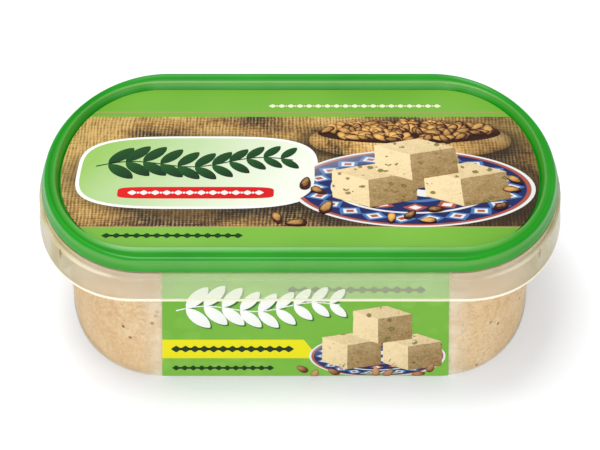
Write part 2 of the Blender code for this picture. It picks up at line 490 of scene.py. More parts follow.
class Bench:
    """The node tree of one finish and the calls that add to it."""

    def __init__(self, name: str) -> None:
        """Starts an empty material, with places in millimetres at hand.

        Args:
            name: the material's name.
        """
        self.material = bpy.data.materials.new(name)
        self.material.use_nodes = True
        self.tree = self.material.node_tree
        self.tree.nodes.clear()
        place = self.node("ShaderNodeTexCoord", {}, {}, "Object")
        self.place = self.node("ShaderNodeVectorMath", {"operation": "SCALE"}, {0: place, "Scale": 1 / MM})
        parts = self.node("ShaderNodeSeparateXYZ", {}, {0: self.place}).socket.node.outputs
        self.x, self.y, self.z = (Feed(self, part) for part in parts)

    def node(self, kind: str, settings: dict, feeds: dict, out: Union[int, str] = 0) -> Feed:
        """Adds one node.

        Args:
            kind: the node's type.
            settings: its own settings, set first; stops fills a colour ramp.
            feeds: values or links for its sockets, by name or number.
            out: which output comes back.

        Returns:
            The output, ready for arithmetic.
        """
        made = self.tree.nodes.new(kind)
        for name, value in settings.items():
            if name == "stops":
                ramp = made.color_ramp
                while len(ramp.elements) < len(value):
                    ramp.elements.new(0.5)
                for element, (position, colour) in zip(ramp.elements, value):
                    element.position = position
                    element.color = colour
            else:
                setattr(made, name, value)
        for name, value in feeds.items():
            if isinstance(value, Feed):
                self.tree.links.new(value.socket, made.inputs[name])
            else:
                made.inputs[name].default_value = value
        return Feed(self, made.outputs[out])

    def mark(self, name: str) -> Feed:
        """A named value that the mesh carries."""
        return self.node("ShaderNodeAttribute", {"attribute_name": name}, {}, "Fac")

    def layered(self, ground: Paint, *layers: tuple[Paint, Operand]) -> Feed:
        """Colours laid over a ground one after the other.

        Args:
            ground: the lowest colour.
            layers: each a colour and its share, which may change over the surface.

        Returns:
            The colour that shows.
        """
        settings = {"data_type": "RGBA", "clamp_factor": True}
        for colour, share in layers:
            ground = self.node("ShaderNodeMix", settings, {0: share, 6: ground, 7: colour}, 2)
        return ground

    def ramp(self, value: Feed, *stops: tuple[float, Colour]) -> Feed:
        """A colour looked up by a number."""
        return self.node("ShaderNodeValToRGB", {"stops": stops}, {0: value})

    def noise(self, size: float, detail: float = 2.0, rough: float = 0.5, warp: float = 0.0,
              at: Optional[Feed] = None) -> Feed:
        """Cloud noise from 0 to 1 whose lumps are about size millimetres across."""
        feeds = {"Vector": at or self.place, "Scale": 1 / size, "Detail": detail, "Roughness": rough}
        return self.node("ShaderNodeTexNoise", {}, {**feeds, "Distortion": warp})

    def cells(self, size: float, at: Optional[Feed] = None) -> Feed:
        """Distance to the nearest of scattered points about size millimetres apart, in cell sizes."""
        return self.node("ShaderNodeTexVoronoi", {}, {"Vector": at or self.place, "Scale": 1 / size})

    def stretched(self, x: float, y: float, z: float) -> Feed:
        """Places in millimetres, scaled along each axis."""
        return self.node("ShaderNodeMapping", {}, {"Vector": self.place, "Scale": (x, y, z)})

    def bump(self, height: Feed, depth: float, strength: float) -> Feed:
        """A surface normal from a height whose full range is depth millimetres."""
        feeds = {"Height": height, "Distance": depth * MM, "Strength": strength}
        return self.node("ShaderNodeBump", {}, feeds)

    def spot(self, centre: Pair, radii: Pair, soft: float) -> Feed:
        """A soft elliptical mask on a level sheet: 1 inside, 0 outside."""
        along, across = (self.x - centre[0]) / radii[0], (self.y - centre[1]) / radii[1]
        return (along * along + across * across).within(1.0, soft)

    def surface(self, feeds: dict) -> bpy.types.Material:
        """Ends the finish with a Principled shader.

        Args:
            feeds: values or links for the shader's sockets; with an Alpha the finish is see-through.

        Returns:
            The material.
        """
        shader = self.node("ShaderNodeBsdfPrincipled", {}, feeds)
        end = self.tree.nodes.new("ShaderNodeOutputMaterial")
        self.tree.links.new(shader.socket, end.inputs["Surface"])
        if "Alpha" in feeds:
            self.material.surface_render_method = "BLENDED"
        return self.material

    def printed(self, colour: Feed, rough: float = 0.34, gloss: float = 0.2,
                **more: Feed) -> bpy.types.Material:
        """Ends the finish as ink with an uneven satin sheen; more feeds further sockets."""
        sheen = rough + 0.1 * self.noise(5.0)
        return self.surface({"Base Color": colour, "Roughness": sheen, "Specular IOR Level": gloss, **more})


@dataclass(frozen=True)
class LidPlastic:
    """Satin green plastic with a faint moulded grain: a painted highlight where the stations' mark is above
    0, painted shade where it is below 0.
    """

    green: Colour = ink(24, 157, 16)
    deep: Colour = ink(14, 146, 10)
    painted_highlight: Colour = ink(126, 186, 96)
    painted_groove_shade: Colour = ink(4, 122, 4)

    def material(self) -> bpy.types.Material:
        """Builds the finish.

        Returns:
            The material.
        """
        b = Bench("lid_plastic")
        # painted light on the rim: highlights on the lip and shoulder, shade in the dish, weaker round the
        # ends
        painted_rim_light = b.mark("frost") * (0.75 + 0.5 * b.noise(7.0, 3.0)) * (1 - abs(b.x).above(56.0, 12.0) * 0.55)
        colour = b.layered(
            self.green,
            (self.deep, b.noise(22.0).above(0.5, 0.2)),
            # painted highlight
            (self.painted_highlight, painted_rim_light.minimum(1.0)),
            # painted shade in the dish's groove and at the recess's foot
            (self.painted_groove_shade, painted_rim_light * -1.0),
        )
        return b.surface({
            "Base Color": colour,
            "Roughness": 0.3 + 0.06 * b.noise(4.0, 3.0),
            "Specular IOR Level": 0.3,
            "Normal": b.bump(b.noise(0.5), 0.006, 0.35),
        })


@dataclass(frozen=True)
class ClearPlastic:
    """Clear polypropylene: nearly clear on the wall, milky where the mark frost says so.

    Past the label the collar picks up the halva's colour, most of all round the ends. A painted highlight
    whitens the collar's bottom bead and a streak along its step near the ends.
    """

    name: str = "clear_plastic"
    milk: Colour = ink(232, 244, 196, 0.95)
    cream: Colour = ink(214, 198, 168, 0.95)
    straw: Colour = ink(166, 150, 84, 0.9)
    # pale: painted highlight on the bead and the streak, and the milky haze past the label
    pale: Colour = ink(252, 244, 220, 0.97)
    wall_alpha: float = 0.05
    cloudy: Colour = ink(246, 242, 232)
    label_middle: float = 1.45
    label_half: float = 37.0
    far_end: float = 58.0
    # height of the painted highlight streak
    painted_streak_height: float = 38.4

    def material(self) -> bpy.types.Material:
        """Builds the finish.

        Returns:
            The material.
        """
        b = Bench(self.name)
        frost = b.mark("frost")
        patches = b.noise(6.0, 3.0).above(0.5, 0.25)
        away = abs(b.x - (self.label_middle - b.y.above(0.0, 1.0) * (2 * self.label_middle)))
        past = away.above(self.label_half, 0.6)
        far = abs(b.x).above(self.far_end, 8.0)
        haze = away.within(self.label_half + 5.0, 3.5) * past * b.z.within(31.0, 0.3)
        # painted highlight: a pale streak along the collar's step, near the ends
        painted_highlight_streak = abs(b.z - self.painted_streak_height).within(0.22, 0.25) * frost.above(0.2, 0.05)
        painted_highlight_streak = painted_highlight_streak * abs(b.x).above(48.0, 4.0) * (1 - far * 0.6)
        alpha = self.wall_alpha + frost * (0.85 + past * 0.9 + far * 2.4)
        alpha = alpha + haze * (0.16 + 0.34 * patches) + painted_highlight_streak * 0.12
        colour = b.layered(
            self.milk,
            (self.cream, past),
            (self.straw, far),
            (self.cloudy, patches * 0.25),
            # painted highlight on the bead where the mark is above 0.5 and on the streak; milky haze past the
            # label
            (self.pale, (frost.above(0.5, 0.15) * 0.85 + haze + painted_highlight_streak * 0.5).minimum(1.0)),
        )
        return b.surface({
            "Base Color": colour,
            "Roughness": 0.14 + 0.12 * frost + 0.08 * b.noise(3.0),
            "Alpha": alpha.minimum(0.97),
            "Normal": b.bump(b.noise(1.0, at=b.stretched(0.25, 0.25, 0.9)), 0.03, 0.3),
            "IOR": 1.49,
        })


@dataclass(frozen=True)
class HalvaCrumb:
    """Pressed halva: cream paste with streaks, darker oily patches, fine cracks and a few specks."""

    cream: Colour = ink(224, 189, 140, 0.9)
    tan: Colour = ink(212, 170, 116, 0.9)
    pale: Colour = ink(238, 213, 170, 0.9)
    hollow: Colour = ink(176, 138, 92)
    crack: Colour = ink(170, 124, 74)
    oil: Colour = ink(200, 148, 88)
    speck: Colour = ink(134, 70, 10)

    def material(self) -> bpy.types.Material:
        """Builds the finish.

        Returns:
            The material.
        """
        b = Bench("halva")
        patches = b.noise(9.0, 3.0, 0.55)
        streaks = b.noise(1.2, 3.0, 0.6, 1.8, b.stretched(0.8, 0.8, 1.0))
        crumb = b.noise(0.5, 4.0, 0.65)
        grit = b.noise(0.9, 3.0, 0.65)
        cracks = abs(b.noise(2.6, 3.0, 0.6, 0.9) - 0.5).within(0.008, 0.01) * patches.above(0.5, 0.05)
        blotch = b.noise(3.6, 2.0, 0.5, 0.6).above(0.60, 0.06) * b.z.above(16.0, 10.0)
        specks = b.cells(3.8).within(0.13, 0.07) * b.noise(9.0).above(0.57, 0.04)
        level = patches - (b.z - 16) * 0.006
        colour = b.layered(
            b.ramp(level, (0.28, self.tan), (0.5, self.cream), (0.76, self.pale)),
            (self.tan, streaks.above(0.57, 0.08) * 0.3),
            (self.pale, abs(streaks - 0.44).within(0.03, 0.03) * 0.5),
            (self.tan, grit.above(0.56, 0.08) * 0.24),
            (self.pale, grit.within(0.44, 0.08) * 0.36),
            (self.hollow, crumb.above(0.64, 0.06) * 0.18),
            (self.crack, cracks * 0.7),
            (self.oil, blotch * 0.4),
            (self.speck, specks * 0.95),
        )
        return b.surface({
            "Base Color": colour,
            "Roughness": 0.62 + 0.2 * crumb,
            "Normal": b.bump(crumb * 0.5 + streaks * 0.5, 0.2, 0.5),
            "Subsurface Weight": 0.06,
            "Subsurface Radius": (0.004, 0.0025, 0.0015),
        })


@dataclass(frozen=True)
class WovenPanel:
    """The printed sheet's ground: a coarse woven cloth in soft folds between two green bands."""

    light: Colour = ink(204, 164, 92)
    mid: Colour = ink(164, 122, 58)
    dark: Colour = ink(110, 76, 34)
    night: Colour = ink(50, 30, 12)
    glint: Colour = ink(244, 212, 142)
    shade: Colour = ink(30, 22, 10)
    dish_shade: Colour = ink(30, 20, 10)
    green: Colour = ink(124, 186, 60)
    low_green: Colour = ink(112, 176, 50)
    line: Colour = ink(170, 156, 92)
    top_band: float = 24.0
    top_line: float = 26.5
    low_band: float = -29.7

    def cloth(self, b: Bench) -> Feed:
        """The cloth: upright ribs crossed by finer threads, light on the folds and dark between them.

        A fold is the size of the sine of a warped slanting distance, so it has round tops and
        narrow valleys; a second, flatter set crosses it.

        Args:
            b: the bench of the finish that shows the cloth.

        Returns:
            The cloth's colour.
        """
        drift = b.noise(24.0, 1.0)
        fine = b.noise(0.8, 3.0, 0.7) - 0.5
        ribs = (b.x * 6.4 + drift * 26 + fine * 2.2).sine() * 0.5 + 0.5
        picks = (b.y * 7.4 + drift * 20 + fine * 2.2).sine() * 0.5 + 0.5
        warp = b.noise(0.7, at=b.stretched(1.0, 0.16, 1.0))
        weft = b.noise(0.7, at=b.stretched(0.16, 1.0, 1.0))
        fold = abs((b.x * 0.075 + b.y * 0.085 + drift * 4.2).sine()) ** 0.7
        cross = abs((b.x * -0.05 + b.y * 0.14 + b.noise(18.0, 1.0) * 3.4 + 0.7).sine()) ** 0.6
        light = fold * 0.55 + cross * 0.45 + fine * 0.5
        light = light + b.x.within(-53.0, 8.0) * b.y.above(-14.0, 6.0) * 1.1 - b.y.within(-20.0, 4.0) * 0.24
        weave = ribs * 0.3 + picks * 0.2 + warp * 0.7 + weft * 0.5 + fine * 0.5
        return b.layered(
            b.ramp(light, (0.20, self.night), (0.42, self.dark), (0.66, self.mid), (0.92, self.light)),
            (self.night, weave.within(0.72, 0.2) * 0.62),
            (self.glint, weave.above(0.98, 0.2) * 0.45),
        )

    def material(self) -> bpy.types.Material:
        """Builds the finish.

        Returns:
            The material.
        """
        b = Bench("woven_panel")
        band = b.layered(self.green, (self.low_green, b.noise(30.0, 1.0).above(0.5, 0.3)))
        colour = b.layered(
            self.cloth(b),
            (self.dish_shade, b.spot((33.0, -15.0), (37.0, 19.5), 0.4) * 0.85),
            (self.shade, b.spot((31.0, 10.5), (32.0, 11.8), 0.3) * 0.85),
            (self.shade, b.spot((-26.5, -6.0), (38.0, 21.0), 0.3) * 0.7),
            (self.night, b.x.above(50.0, 7.0) * 0.5),
            (band, b.y.above(self.top_band, 0.12)),
            (band, b.y.within(self.low_band, 0.12)),
            (self.line, abs(b.y - self.top_line).within(0.3, 0.12)),
            (self.line, abs(b.y - self.low_band).within(0.3, 0.12)),
        )
        return b.surface({
            "Base Color": colour,
            "Roughness": 0.34 + 0.08 * b.noise(6.0),
            "Specular IOR Level": 0.3,
            "Normal": b.bump(b.noise(9.0), 0.12, 0.35),
        })


@dataclass(frozen=True)
class SackCloth:
    """A sack's rolled rim: the panel's cloth in lighter shades, darker towards its outline."""

    weave: WovenPanel = WovenPanel(ink(248, 206, 130), ink(216, 168, 94), ink(168, 122, 60), ink(78, 48, 20))
    edge: Colour = ink(48, 30, 14)
    shade: Colour = ink(70, 44, 20)

    def material(self) -> bpy.types.Material:
        """Builds the finish.

        Returns:
            The material.
        """
        b = Bench("sack_cloth")
        colour = b.layered(
            self.weave.cloth(b),
            (self.edge, b.mark("rim").above(0.98, 0.12) * 0.8),
            (self.shade, b.x.above(48.0, 16.0) * 0.6),
        )
        return b.printed(colour, 0.4)


@dataclass(frozen=True)
class PrintInk:
    """Printed ink between two shades: the mark tone says which, and a fine grain breaks it up.

    The field edge says how much darker a shape's outline is.
    """

    name: str
    dark: Colour
    light: Colour
    grain: float = 0.25
    edge: float = 0.0

    def material(self) -> bpy.types.Material:
        """Builds the finish.

        Returns:
            The material.
        """
        b = Bench(self.name)
        tone = b.mark("tone") + (b.noise(0.8, 3.0) - 0.5) * self.grain - b.mark("rim") ** 4.0 * self.edge
        return b.printed(b.layered(self.dark, (self.light, tone.clamped())))


@dataclass(frozen=True)
class PlaqueInk:
    """The plaque's ground: pale green running to white towards the lower right."""

    green: Colour = ink(156, 200, 102)
    white: Colour = ink(242, 246, 232)
    low: float = -58.0
    high: float = 4.0

    def material(self) -> bpy.types.Material:
        """Builds the finish.

        Returns:
            The material.
        """
        b = Bench("plaque_ink")
        run = (b.x - self.low) / (self.high - self.low) + (b.noise(12.0) - 0.5) * 0.2 - b.y * 0.008
        return b.printed(b.layered(self.green, (self.white, run.clamped())))


@dataclass(frozen=True)
class DishGlaze:
    """A glazed dish seen at a slant: rings of blue, white and brick red with repeated lozenges."""

    centre: Pair
    radii: Pair
    level: bool = True
    blue: Colour = ink(16, 30, 92)
    sky: Colour = ink(70, 122, 182)
    white: Colour = ink(236, 236, 232)
    brick: Colour = ink(178, 82, 58)
    shine: Colour = ink(225, 232, 240)

    def material(self) -> bpy.types.Material:
        """Builds the finish: a place becomes a radius from 0 to 1 and a turn, which the rings read.

        Returns:
            The material.
        """
        b = Bench("dish_glaze")
        u = (b.x - self.centre[0]) / self.radii[0]
        v = ((b.y if self.level else b.z) - self.centre[1]) / self.radii[1]
        radius, turn = (u * u + v * v) ** 0.5, v.angle_from(u) / (2 * math.pi)
        shine = (u * 0.6 - v * 0.8 + (b.noise(6.0) - 0.5) * 0.4).within(-0.75, 0.3) * 0.22
        colour = b.layered(
            self.blue,
            (self.white, self.ring(radius, 0.985, 0.02)),
            (self.brick, self.ring(radius, 0.945, 0.016)),
            (self.sky, self.lozenges(radius, turn, 0.80, 0.115, 22)),
            (self.white, self.lozenges(radius, turn, 0.80, 0.075, 22)),
            (self.brick, self.lozenges(radius, turn, 0.80, 0.042, 22)),
            (self.white, self.ring(radius, 0.655, 0.018)),
            (self.brick, self.lozenges(radius, turn, 0.52, 0.10, 12)),
            (self.white, self.lozenges(radius, turn, 0.52, 0.055, 12)),
            (self.sky, self.ring(radius, 0.36, 0.03)),
            (self.white, self.lozenges(radius, turn, 0.18, 0.12, 6)),
            (self.shine, shine),
        )
        return b.printed(colour, 0.3, 0.35)

    def ring(self, radius: Feed, middle: float, half: float) -> Feed:
        """A ring's mask."""
        return abs(radius - middle).within(half, 0.006)

    def lozenges(self, radius: Feed, turn: Feed, middle: float, half: float, count: int) -> Feed:
        """A ring of equal lozenges: where the distances to it and to the nearest step add up to little."""
        along = abs((turn * count + 0.5).fraction() - 0.5) * (2 * math.pi * middle / count)
        return (along + abs(radius - middle)).within(half, 0.008)


@dataclass(frozen=True)
class CubeCrumb:
    """Printed halva: crumbly cream with green flecks, its faces told apart by the mark tone."""

    light: Colour = ink(248, 224, 174)
    dark: Colour = ink(142, 110, 58)
    husk: Colour = ink(112, 84, 40)
    fleck: Colour = ink(126, 132, 58)

    def material(self) -> bpy.types.Material:
        """Builds the finish.

        Returns:
            The material.
        """
        b = Bench("cube_crumb")
        crumb = b.noise(0.6, 4.0, 0.7)
        tone = b.mark("tone") + (crumb - 0.5) * 0.8 + (b.noise(3.5, 3.0) - 0.5) * 0.3
        near = b.cells(2.9) + (b.noise(0.9) - 0.5) * 0.3
        chosen = b.noise(3.2).above(0.53, 0.02)
        colour = b.layered(
            self.dark,
            (self.light, tone.clamped()),
            (self.husk, near.within(0.30, 0.05) * chosen * 0.8),
            (self.fleck, near.within(0.20, 0.06) * chosen * 0.9),
        )
        return b.surface({"Base Color": colour, "Roughness": 0.42 + 0.1 * crumb, "Specular IOR Level": 0.2})


@dataclass(frozen=True)
class LabelPrint:
    """The label's ground: green with faint leaf shapes and a yellow band, painted lighter near the foot as
    painted light.
    """

    green: Colour = ink(122, 184, 62)
    leaf: Colour = ink(146, 200, 88)
    deep: Colour = ink(110, 178, 52)
    # foot: the lighter green painted near the foot as painted light
    foot: Colour = ink(136, 202, 74)
    yellow: Colour = ink(240, 230, 8)
    band_low: float = 7.9
    band_half: float = 3.3
    band_end: float = 5.0

    def material(self, name: str, facing: float) -> bpy.types.Material:
        """Builds the finish.

        Args:
            name: the material's name.
            facing: -1 on the shown side and 1 on the hidden one, where x runs the other way.

        Returns:
            The material.
        """
        b = Bench(name)
        petals = (b.cells(7.5, b.stretched(1.0, 0.0, 1.25)) - b.noise(3.0) * 0.3).within(0.18, 0.12) * 0.5
        band = abs(b.z - (self.band_low + self.band_half)).within(self.band_half, 0.1)
        slant = b.x * -facing + (b.z - self.band_low) * 0.6
        colour = b.layered(
            self.green,
            (self.leaf, petals),
            (self.deep, b.noise(26.0, 1.0).above(0.55, 0.2) * 0.5),
            # painted light: lighter green near the foot, where the real light is weaker
            (self.foot, b.z.within(6.0, 6.0) * 0.5),
            (self.yellow, band * slant.within(self.band_end, 0.15)),
        )
        return b.printed(colour, 0.32, Normal=b.bump(b.noise(12.0), 0.1, 0.3))


LID_PLAN = Oval(70.0 * MM, 46.0 * MM, 30.7 * MM)
LIP_PLAN = Oval(66.6 * MM, 40.2 * MM, 26.0 * MM, 2.1)
WALL_PLAN = Oval(66.0 * MM, 42.6 * MM, 29.0 * MM, 2.1)
COLLAR_FOOT_PLAN = Oval(72.0 * MM, 47.3 * MM, 30.0 * MM, 2.1)
TOTAL_HEIGHT = 44.0 * MM
WALL_THICKNESS = 0.9 * MM
WALL_TAPER = 0.8 * MM
BASE_RADIUS = 2.6 * MM
FLANGE_TOP = 39.8 * MM


def wall_inset(z: np.ndarray) -> np.ndarray:
    """How far the wall's outside stands in from its top outline: a taper, then a quarter circle.

    Args:
        z: heights in metres.

    Returns:
        One distance for each height.
    """
    below = np.clip(BASE_RADIUS - z, 0.0, BASE_RADIUS)
    return WALL_TAPER * (1 - z / FLANGE_TOP) + BASE_RADIUS - np.sqrt(BASE_RADIUS**2 - below**2)


def wall_ring(z: float, inward: float = 0.0, frost: float = 0.0) -> Station:
    """A ring round the wall at height z, moved inwards from its outside."""
    return Station(WALL_PLAN.grown(-float(wall_inset(z)) - inward), float(z), frost)


@dataclass
class Tub:
    """The clear tub: wall, flange, snap bead and the collar that hangs outside the wall."""

    ledge_top: float = 40.2 * MM
    step_top: float = 38.6 * MM
    collar_foot: float = 31.3 * MM
    bead_top: float = 42.2 * MM
    stands_out: float = 0.9 * MM
    rib_angle: float = math.radians(47.0)
    rib_half: float = 0.3 * MM
    rib_end: float = 0.1 * MM
    rib_colour: Colour = ink(184, 158, 116)
    finish: ClearPlastic = ClearPlastic()

    def stations(self) -> list[Station]:
        """Rings up the outside of the wall, round the collar and bead, and down the inside.

        Returns:
            The rings in order.
        """
        radius, half, under = BASE_RADIUS, WALL_THICKNESS / 2, FLANGE_TOP - WALL_THICKNESS
        heights = radius * (1 - np.cos(np.linspace(0.0, math.pi / 2, 10)))
        outside = [wall_ring(z, frost=0.1) for z in heights]
        outside += [wall_ring(z) for z in np.linspace(4.0 * MM, 38.0 * MM, 12)]
        band, foot = LID_PLAN.grown(self.stands_out), COLLAR_FOOT_PLAN
        mid = foot.towards(band, 0.5)
        collar = [
            Station(WALL_PLAN, under, 0.2),
            Station(band.grown(-WALL_THICKNESS), under, 0.1),
            Station(foot.grown(-WALL_THICKNESS), self.collar_foot + half, 0.12),
            # The high values on the foot's bead also paint a highlight on it.
            *rounding(foot.grown(-half), self.collar_foot + half, half, 180.0, 360.0, 8, 0.8),
            Station(foot.grown(-0.01 * MM), self.collar_foot + 0.85 * MM, 0.7),
            Station(foot.grown(-0.02 * MM), self.collar_foot + 1.25 * MM, 0.22),
            Station(mid.grown(0.05 * MM), self.step_top - 0.9 * MM, 0.24),
            *rounding(mid.grown(-0.12 * MM), self.step_top - 0.42 * MM, 0.2 * MM, 0.0, 70.0, 4, 0.28),
            Station(band.grown(0.08 * MM), self.step_top, 0.3),
            Station(band, self.step_top + 0.3 * MM, 0.26),
            *rounding(band.grown(-0.2 * MM), self.ledge_top - 0.2 * MM, 0.2 * MM, 0.0, 90.0, 4, 0.3),
        ]
        outer, inner = LID_PLAN.grown(-0.7 * MM), LID_PLAN.grown(-1.8 * MM)
        bead = [
            Station(outer, self.ledge_top, 0.3),
            Station(outer, self.bead_top, 0.3),
            Station(inner, self.bead_top, 0.3),
            Station(inner, FLANGE_TOP, 0.3),
        ]
        inside = [
            wall_ring(FLANGE_TOP, WALL_THICKNESS, 0.1),
            wall_ring(radius, WALL_THICKNESS),
            Station(wall_ring(radius, radius).plan, WALL_THICKNESS),
        ]
        return outside + collar + bead + inside

    def rib(self, number: int) -> None:
        """A small upright rib between the collar and the wall, one at each corner.

        Formula: its loop runs out along both sides of a line from the wall to the collar; the loop is
        repeated at rising heights, narrower at the foot.

        Args:
            number: which corner it stands at, from 0 to 3.
        """
        corner = np.sign([number % 2 - 0.5, number // 2 - 0.5])
        plans = (WALL_PLAN.grown(-0.2 * MM), COLLAR_FOOT_PLAN.grown(-0.6 * MM))
        start, stop = (corner * plan.end(np.array(self.rib_angle)) for plan in plans)
        out = (stop - start) / np.linalg.norm(stop - start)
        side, past = np.array([-out[1], out[0]]) * self.rib_half, out * self.rib_end
        levels = np.array([[32.2, 0.9], [34.0, 0.96], [36.0, 1.0], [38.4, 1.0]])
        rings = []
        for height, reach in levels:
            tip = start + (stop - start) * reach
            loop = np.array([start - side, tip - side, tip + past, tip + side, start + side, start - past])
            rings.append(np.concatenate([loop, np.full((len(loop), 1), height * MM)], axis=1))
        plastic = ClearPlastic(f"rib_plastic_{number + 1}", *[self.rib_colour] * 4, wall_alpha=0.55)
        frost = np.full((len(rings), len(rings[0])), 0.2)
        piece = swept(f"tub_rib_{number + 1}", np.stack(rings), plastic.material(), marks={"frost": frost})

    def build(self) -> None:
        """Makes the tub."""
        for number in range(4):
            self.rib(number)
        piece = moulded("tub_shell", self.stations(), self.finish.material())
        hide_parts("tub")


@dataclass
class HalvaFill:
    """The cast block: it follows the tub's inside and reaches just into the wall."""

    into_wall: float = 0.6 * MM
    top: float = 39.4 * MM
    edge: float = 1.8 * MM
    relief: float = 0.12 * MM
    top_relief: float = 1.0 * MM
    lump: float = 7.0 * MM
    crumb: float = 1.3 * MM
    finish: HalvaCrumb = HalvaCrumb()

    def build(self) -> None:
        """Makes the block.

        Formula: rings follow the wall's inset; each side point moves inwards by relief times noise of
        lumps and crumbs, and each top point moves down by top_relief times the same noise.
        """
        inward = WALL_THICKNESS - self.into_wall
        low = np.array([0.6, 1.0, 1.6, 2.3]) * MM
        heights = np.concatenate([low, np.linspace(3.0 * MM, self.top - self.edge, 56)])
        sides = [wall_ring(z, inward) for z in heights]
        bend = WALL_PLAN.grown(-inward - self.edge)
        shoulder = rounding(bend, self.top - self.edge, self.edge, 0.0, 90.0, 6)[1:]
        rings = ring_stack(sides + shoulder, 56, 48)
        shares = np.linspace(1.0, 0.03, 24)[1:, None, None]
        cap = rings[-1:] * np.concatenate([shares, shares, np.ones_like(shares)], axis=2)
        rings = np.concatenate([rings, cap])
        lumps = 0.5 + 0.25 * lattice_noise(rings, self.lump, 3) + 0.25 * lattice_noise(rings, self.crumb, 5)
        to_middle = -rings[..., :2] / np.linalg.norm(rings[..., :2], axis=-1, keepdims=True)
        on_side = (np.arange(len(rings)) < len(sides))[:, None]
        rings[..., :2] += to_middle * (self.relief * lumps * on_side)[..., None]
        rings[..., 2] -= self.top_relief * lumps * ~on_side
        piece = swept("halva_block", rings, self.finish.material(), crease=60.0)
        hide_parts("halva")


@dataclass
class Lid:
    """The green lid: recessed middle, rounded lip, dished rim, shoulder and skirt."""

    edge_height: float = 40.5 * MM
    lip: float = 0.6 * MM
    shoulder: float = 1.2 * MM
    dish: float = 0.45 * MM
    slant: float = 0.9 * MM
    flare: float = 0.8 * MM
    recess: float = 2.4 * MM
    hem: float = 0.3 * MM
    sheet: float = 1.0 * MM
    finish: LidPlastic = LidPlastic()

    def stations(self) -> list[Station]:
        """Rings from under the middle, out along the underside, up the skirt, over the rim and down.

        Returns:
            The rings in order.
        """
        panel, channel = TOTAL_HEIGHT - self.recess, TOTAL_HEIGHT - self.dish - self.sheet
        foot, skirt = LIP_PLAN.grown(-self.slant), LID_PLAN.grown(self.flare - self.sheet)
        hem, bend = LID_PLAN.grown(self.flare - self.hem), LID_PLAN.grown(-self.shoulder)
        low = self.edge_height
        # The third value of each station paints light: highlights on the hem, shoulder and lip, slight shade
        # on the shoulder's top.
        up = [
            Station(foot.grown(0.5 * MM), panel - self.sheet),
            Station(LIP_PLAN.grown(self.sheet), channel),
            Station(skirt.grown(-0.1 * MM), channel),
            Station(skirt, low),
            *rounding(hem, low + self.hem, self.hem, 270.0, 360.0, 5, 0.12),
            Station(LID_PLAN.grown(self.flare * 0.35), low + 1.2 * MM, 0.2),
            Station(LID_PLAN.grown(self.flare * 0.08), low + 1.9 * MM, 0.5),
            *rounding(bend, TOTAL_HEIGHT - self.shoulder, self.shoulder, 0.0, 20.0, 3, 0.5),
            *rounding(bend, TOTAL_HEIGHT - self.shoulder, self.shoulder, 32.0, 90.0, 6, -0.04),
        ]
        lip = rounding(LIP_PLAN.grown(self.lip), TOTAL_HEIGHT - self.lip, self.lip, 90.0, 180.0, 8, 0.66)
        # Painted shade across the dish, turning to a painted highlight towards the lip.
        dished = [
            Station(
                up[-1].plan.towards(lip[0].plan, share),
                TOTAL_HEIGHT - self.dish * math.sin(math.pi * share),
                -0.08 + 0.8 * max(0.0, share - 0.45) / 0.55,
            )
            for share in np.linspace(0.0, 1.0, 18)[1:-1]
        ]
        down = Station(LIP_PLAN.grown(-0.4 * self.slant), TOTAL_HEIGHT - 1.3 * MM, 0.1)
        # The last ring gets painted shade at the foot of the recess wall.
        return up + dished + lip + [down, Station(foot, panel, -0.5)]

    def build(self) -> None:
        """Makes the lid."""
        piece = moulded("lid_shell", self.stations(), self.finish.material())
        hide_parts("lid")


class Facet(Enum):
    """The three faces of a printed cube that show, and how light each is."""

    TOP = 0.78
    RIGHT = 0.16
    LEFT = 0.96


@dataclass(frozen=True)
class Cube:
    """A printed cube of halva: its three edges on the sheet."""

    right: Pair
    left: Pair
    up: float
    crumble: float = 0.1
    grain: float = 0.9
    steps: int = 8

    def faces(self, corner: Pair, seed: int) -> np.ndarray:
        """The outlines of its three faces, with crumbly edges.

        Formula: each face is a parallelogram of two of the vectors right, left and up, its edges cut into
        steps, each point moved a little by noise of its own place.

        Args:
            corner: the lowest corner that shows.
            seed: which noise moves the points.

        Returns:
            An array of the faces in Facet's order, points and coordinates.
        """
        c, r, l, u = np.array(corner), np.array(self.right), np.array(self.left), np.array([0.0, self.up])
        quads = np.array([
            [c + u, c + u + r, c + u + r + l, c + u + l],
            [c, c + r, c + r + u, c + u],
            [c, c + u, c + u + l, c + l],
        ])
        share = np.linspace(0.0, 1.0, self.steps + 1)[:-1, None]
        nexts = np.roll(quads, -1, axis=1)
        points = (quads[:, :, None] + (nexts - quads)[:, :, None] * share).reshape(3, -1, 2)
        place = np.concatenate([points, np.full(points.shape[:2] + (1,), float(seed))], axis=2)
        shift = np.stack([lattice_noise(place, self.grain, stream) for stream in (11, 12)], axis=2)
        return points + self.crumble * shift


